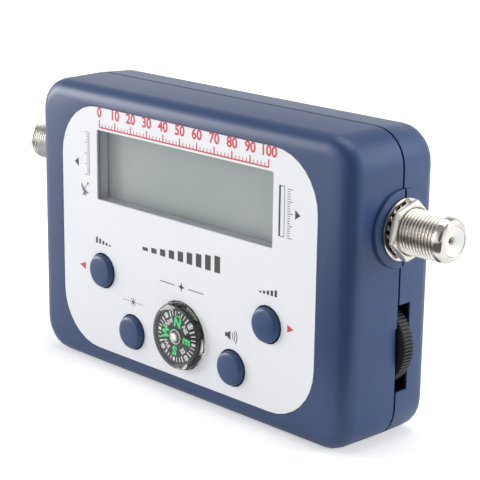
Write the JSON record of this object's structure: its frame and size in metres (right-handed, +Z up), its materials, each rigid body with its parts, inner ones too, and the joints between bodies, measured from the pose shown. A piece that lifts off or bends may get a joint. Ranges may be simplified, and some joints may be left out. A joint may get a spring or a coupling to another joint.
{
  "type": "satellite signal meter",
  "caption": "Pocket satellite signal meter: moulded case with a display, push buttons, a small compass, a thumbwheel and an F connector at each end.",
  "frame": {"origin": "centre of the bottom face, on which the meter stands as in the picture", "axes": "+X along the width towards the connector beside the thumbwheel, the display faces -Y, +Z up"},
  "size_m": [0.1293, 0.0276, 0.0655],
  "materials": {
    "navy_plastic": "satin moulded ABS, dark blue",
    "navy_button": "satin moulded ABS, dark blue",
    "black_plastic": "black moulded plastic",
    "label_white": "satin printed overlay, off-white",
    "clear_plastic": "clear acrylic",
    "grey_plastic": "grey moulded plastic",
    "display_glass": "grey-green liquid crystal glass with its rear polariser, opaque",
    "light_guide": "milky light guide",
    "conductive_rubber": "striped contact rubber",
    "circuit_board": "glass fibre board with solder mask",
    "nickel_plate": "nickel-plated brass",
    "brass": "bare brass",
    "zinc_plated_steel": "zinc-plated steel",
    "tinned_steel": "tinned sheet steel",
    "white_plastic": "white moulded plastic"
  },
  "bodies": {
    "meter": {"attenuator_left_switch": "tinned_steel", "attenuator_right_switch": "tinned_steel", "back_case": "navy_plastic", "backlight_led_left": "white_plastic", "backlight_led_right": "white_plastic", "board_screw_1": "zinc_plated_steel", "board_screw_2": "zinc_plated_steel", "board_screw_3": "zinc_plated_steel", "board_screw_4": "zinc_plated_steel", "buzzer_sounder": "black_plastic", "buzzer_switch": "tinned_steel", "capacitor": "black_plastic", "case_screw_1": "zinc_plated_steel", "case_screw_2": "zinc_plated_steel", "case_screw_3": "zinc_plated_steel", "case_screw_4": "zinc_plated_steel", "compass_base": "black_plastic", "compass_dome": "clear_plastic", "compass_pivot_pin": "zinc_plated_steel", "connector_barrel_left": "nickel_plate", "connector_barrel_right": "nickel_plate", "connector_contact_left": "brass", "connector_contact_right": "brass", "connector_insulator_left": "white_plastic", "connector_insulator_right": "white_plastic", "connector_lock_washer_left": "nickel_plate", "connector_lock_washer_right": "nickel_plate", "connector_nut_left": "nickel_plate", "connector_nut_right": "nickel_plate", "contact_strip": "conductive_rubber", "controller_chip": "black_plastic", "display_window": "clear_plastic", "front_case": "navy_plastic", "front_label": "label_white", "lcd_backlight": "light_guide", "lcd_frame": "grey_plastic", "lcd_glass": "display_glass", "light_switch": "tinned_steel", "main_board": "circuit_board", "potentiometer": "black_plastic", "tuner_chip": "black_plastic", "tuner_screen": "tinned_steel", "tuner_screen_lid": "tinned_steel", "voltage_regulator": "black_plastic"},
    "attenuator_left_button": {"attenuator_left_button": "navy_button", "attenuator_left_plunger": "black_plastic"},
    "light_button": {"light_button": "navy_button", "light_plunger": "black_plastic"},
    "buzzer_button": {"buzzer_button": "navy_button", "buzzer_plunger": "black_plastic"},
    "attenuator_right_button": {"attenuator_right_button": "navy_button", "attenuator_right_plunger": "black_plastic"},
    "thumbwheel": {"thumbwheel": "black_plastic", "potentiometer_shaft": "white_plastic", "thumbwheel_screw": "zinc_plated_steel"},
    "compass_card": {"compass_card": "black_plastic", "compass_magnet": "zinc_plated_steel", "compass_bearing": "brass"}
  },
  "joints": [
    {"name": "attenuator_left_button_press", "type": "slide", "parent": "meter", "child": "attenuator_left_button", "axis": [0, 1, 0], "range_m": [0, 0.0005], "stiffness_N_per_m": 400},
    {"name": "light_button_press", "type": "slide", "parent": "meter", "child": "light_button", "axis": [0, 1, 0], "range_m": [0, 0.0005], "stiffness_N_per_m": 400},
    {"name": "buzzer_button_press", "type": "slide", "parent": "meter", "child": "buzzer_button", "axis": [0, 1, 0], "range_m": [0, 0.0005], "stiffness_N_per_m": 400},
    {"name": "attenuator_right_button_press", "type": "slide", "parent": "meter", "child": "attenuator_right_button", "axis": [0, 1, 0], "range_m": [0, 0.0005], "stiffness_N_per_m": 400},
    {"name": "thumbwheel_turn", "type": "hinge", "parent": "meter", "child": "thumbwheel", "pos_m": [0.04195, 0.00378, 0.0203], "axis": [0, 1, 0], "range_deg": [-140, 140]},
    {"name": "compass_card_turn", "type": "hinge", "parent": "meter", "child": "compass_card", "pos_m": [0, -0.0127, 0.01435], "axis": [0, 1, 0], "continuous": true}
  ]
}
